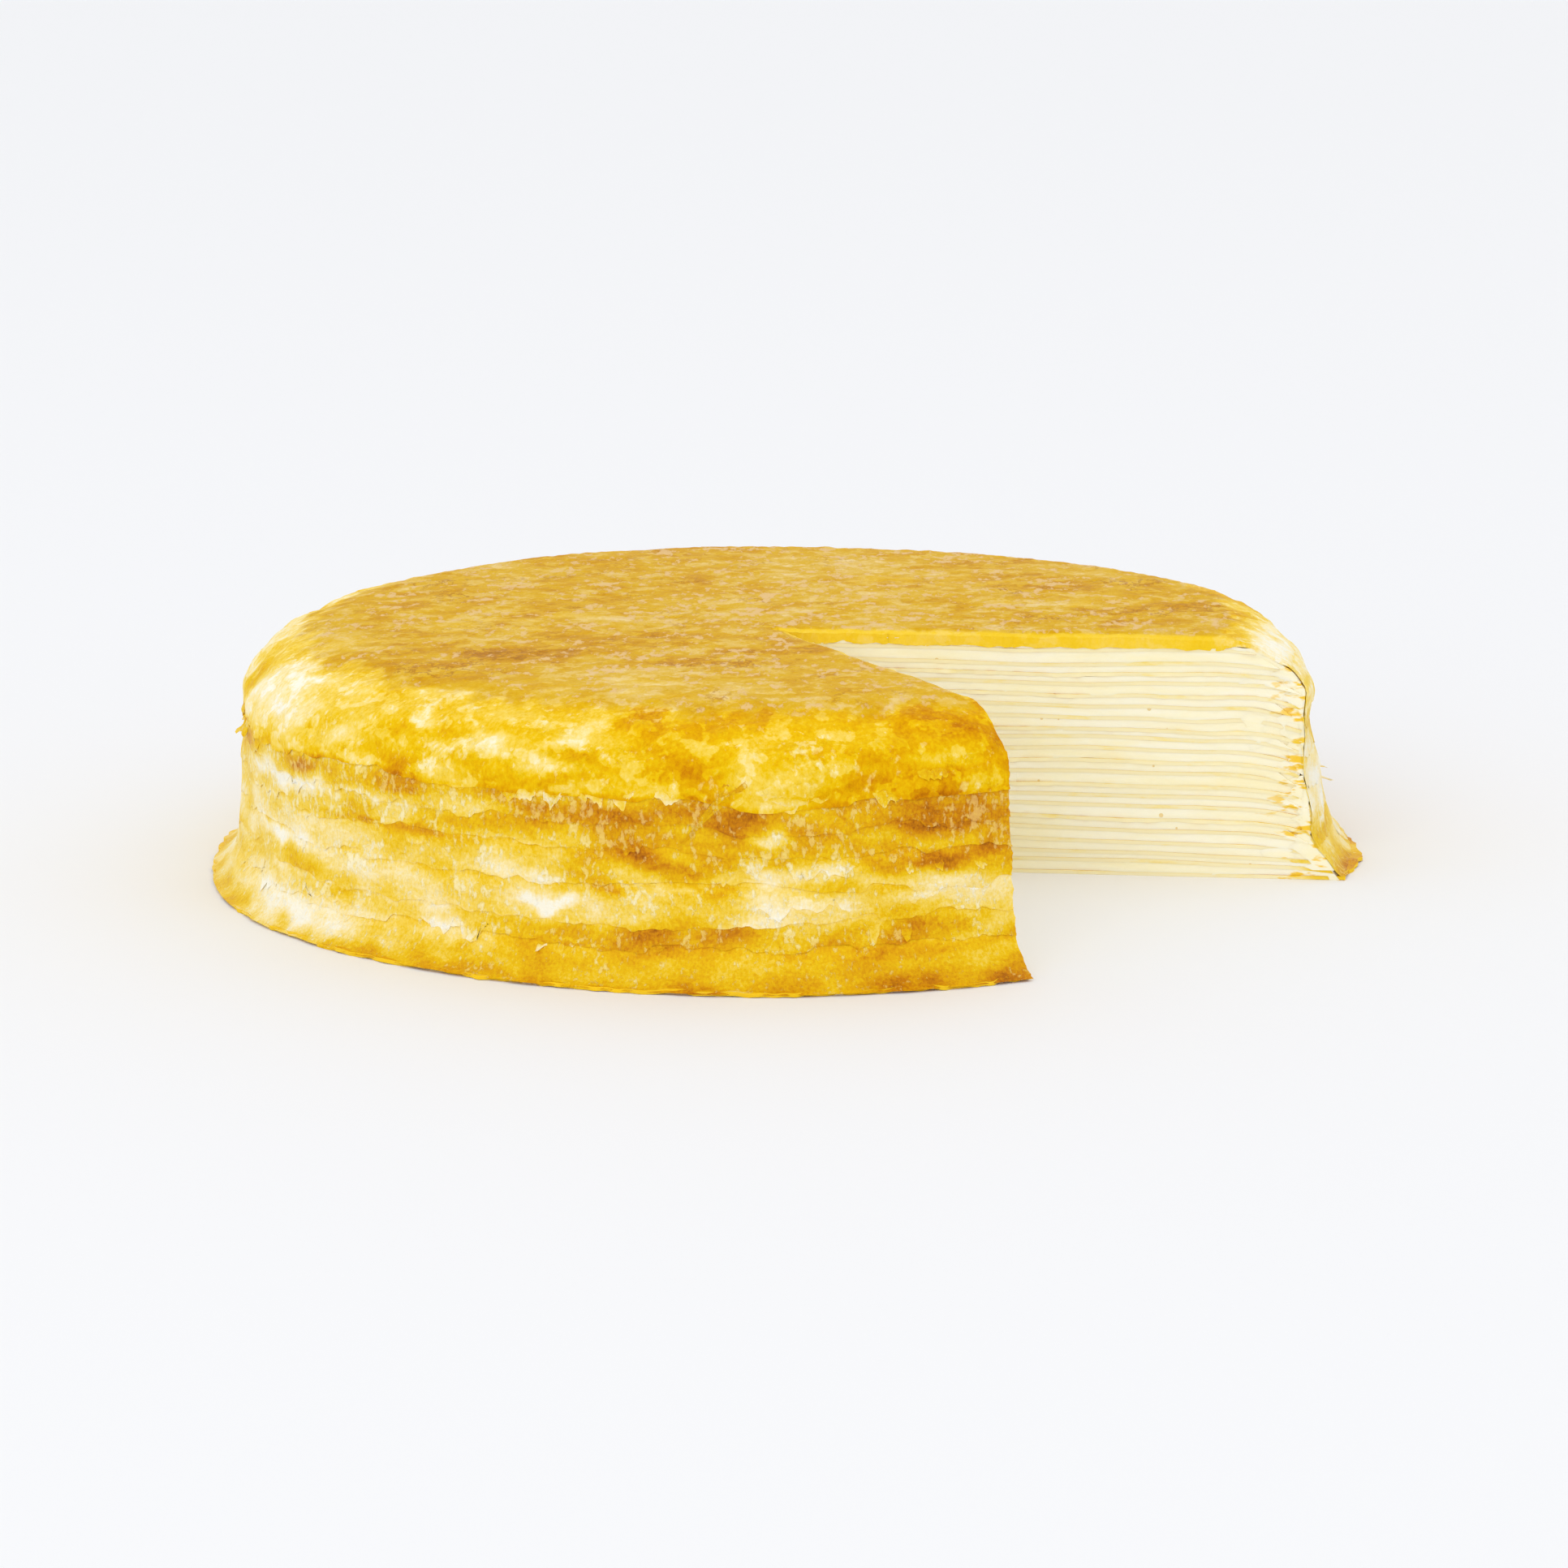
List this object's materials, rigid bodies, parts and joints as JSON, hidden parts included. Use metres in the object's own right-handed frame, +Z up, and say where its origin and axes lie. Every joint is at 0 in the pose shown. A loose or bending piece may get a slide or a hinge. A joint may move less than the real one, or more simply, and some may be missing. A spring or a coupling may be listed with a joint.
{
  "type": "crepe cake",
  "caption": "Round mille crepe cake of thin crepes stacked with pastry cream, with one slice cut out, resting on its flat base.",
  "frame": {"origin": "on the cake's axis, on the flat underside of its bottom crepe, where it rests on a plate", "axes": "+Z up through the stack; the missing slice opens towards +X and -Y"},
  "size_m": [0.2458, 0.2435, 0.0516],
  "materials": {
    "top_crepe": "browned crepe skin, satin, mottled golden and tan",
    "crepe": "thin cooked batter, satin, yellow with lacy brown spots",
    "cream": "soft pastry cream, pale and slightly moist"
  },
  "bodies": {
    "root": {"crepe_01": "crepe", "crepe_02": "crepe", "crepe_03": "crepe", "crepe_04": "crepe", "crepe_05": "crepe", "crepe_06": "crepe", "crepe_07": "crepe", "crepe_08": "crepe", "crepe_09": "crepe", "crepe_10": "crepe", "crepe_11": "crepe", "crepe_12": "crepe", "crepe_13": "crepe", "crepe_14": "crepe", "crepe_15": "crepe", "crepe_16": "crepe", "crepe_17": "crepe", "crepe_18": "crepe", "crepe_19": "crepe", "crepe_20": "crepe", "crepe_21": "crepe", "crepe_22": "top_crepe", "cream_01": "cream", "cream_02": "cream", "cream_03": "cream", "cream_04": "cream", "cream_05": "cream", "cream_06": "cream", "cream_07": "cream", "cream_08": "cream", "cream_09": "cream", "cream_10": "cream", "cream_11": "cream", "cream_12": "cream", "cream_13": "cream", "cream_14": "cream", "cream_15": "cream", "cream_16": "cream", "cream_17": "cream", "cream_18": "cream", "cream_19": "cream", "cream_20": "cream", "cream_21": "cream"}
  },
  "joints": []
}
